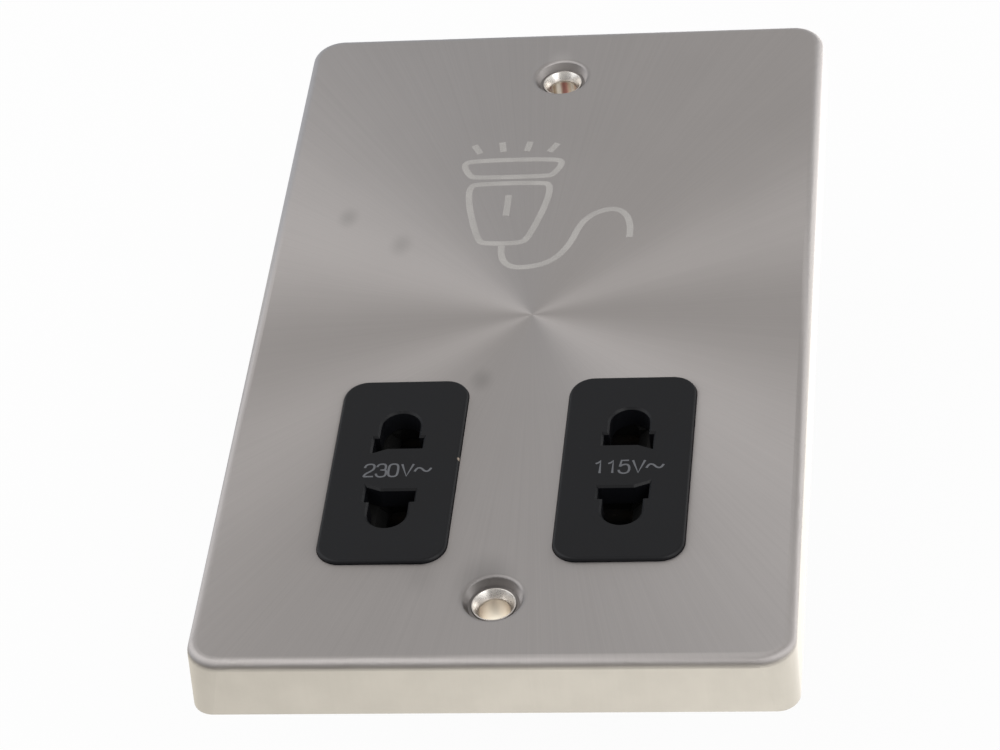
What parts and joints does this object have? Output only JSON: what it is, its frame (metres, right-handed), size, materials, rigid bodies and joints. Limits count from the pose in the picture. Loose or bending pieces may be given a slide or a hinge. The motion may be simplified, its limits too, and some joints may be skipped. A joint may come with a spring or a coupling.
{
  "type": "shaver socket",
  "caption": "Wall shaver socket with a sunray-brushed steel plate, black two-voltage outlets, an interlock slide and an isolating transformer behind.",
  "frame": {"origin": "Middle of the plate on the wall plane, midway between the two fixing holes", "axes": "+Z out of the wall, +Y to the plate's top edge, +X to the right seen from the front"},
  "size_m": [0.086, 0.146, 0.0506],
  "materials": {
    "brushed_steel": "sunray brushed, lacquered",
    "bright_nickel": "bright plated",
    "insert_black": "fine matte moulded",
    "moulding_black": "moulded, light grain",
    "zinc_screw": "zinc plated",
    "contact_bronze": "stamped strip",
    "terminal_brass": "turned and stamped",
    "core_steel": "varnished laminations",
    "bobbin_nylon": "natural nylon",
    "winding_copper": "enamelled wire under film",
    "tinned_tag": "tinned",
    "cutout_case": "moulded case",
    "lead_brown": "insulated lead",
    "lead_blue": "insulated lead",
    "lead_white": "insulated lead"
  },
  "bodies": {
    "unit": {"front_plate": "brushed_steel", "top_fixing_eyelet": "bright_nickel", "bottom_fixing_eyelet": "bright_nickel", "socket_insert_230v": "insert_black", "socket_insert_115v": "insert_black", "mounting_frame": "moulding_black", "socket_block": "moulding_black", "rear_cover": "moulding_black", "block_screws": "zinc_screw", "cover_screws": "zinc_screw", "core_screws": "zinc_screw", "contact_230v": "contact_bronze", "contact_115v": "contact_bronze", "common_contact_strip": "contact_bronze", "live_terminal": "terminal_brass", "neutral_terminal": "terminal_brass", "earth_terminal": "terminal_brass", "terminal_screws": "terminal_brass", "earth_strap": "terminal_brass", "core_e_stack": "core_steel", "core_i_stack": "core_steel", "winding_bobbin": "bobbin_nylon", "output_winding": "winding_copper", "mains_winding": "winding_copper", "output_tags": "tinned_tag", "mains_tags": "tinned_tag", "thermal_cutout": "cutout_case", "live_lead": "lead_brown", "primary_lead": "lead_brown", "neutral_lead": "lead_blue", "output_lead_230v": "lead_white", "output_lead_115v": "lead_white", "output_lead_common": "lead_white"},
    "interlock": {"interlock_shutter": "insert_black"}
  },
  "joints": [
    {"name": "interlock_slide", "type": "slide", "parent": "unit", "child": "interlock", "axis": [1, 0, 0], "range_m": [-0.003, 0.003]}
  ]
}
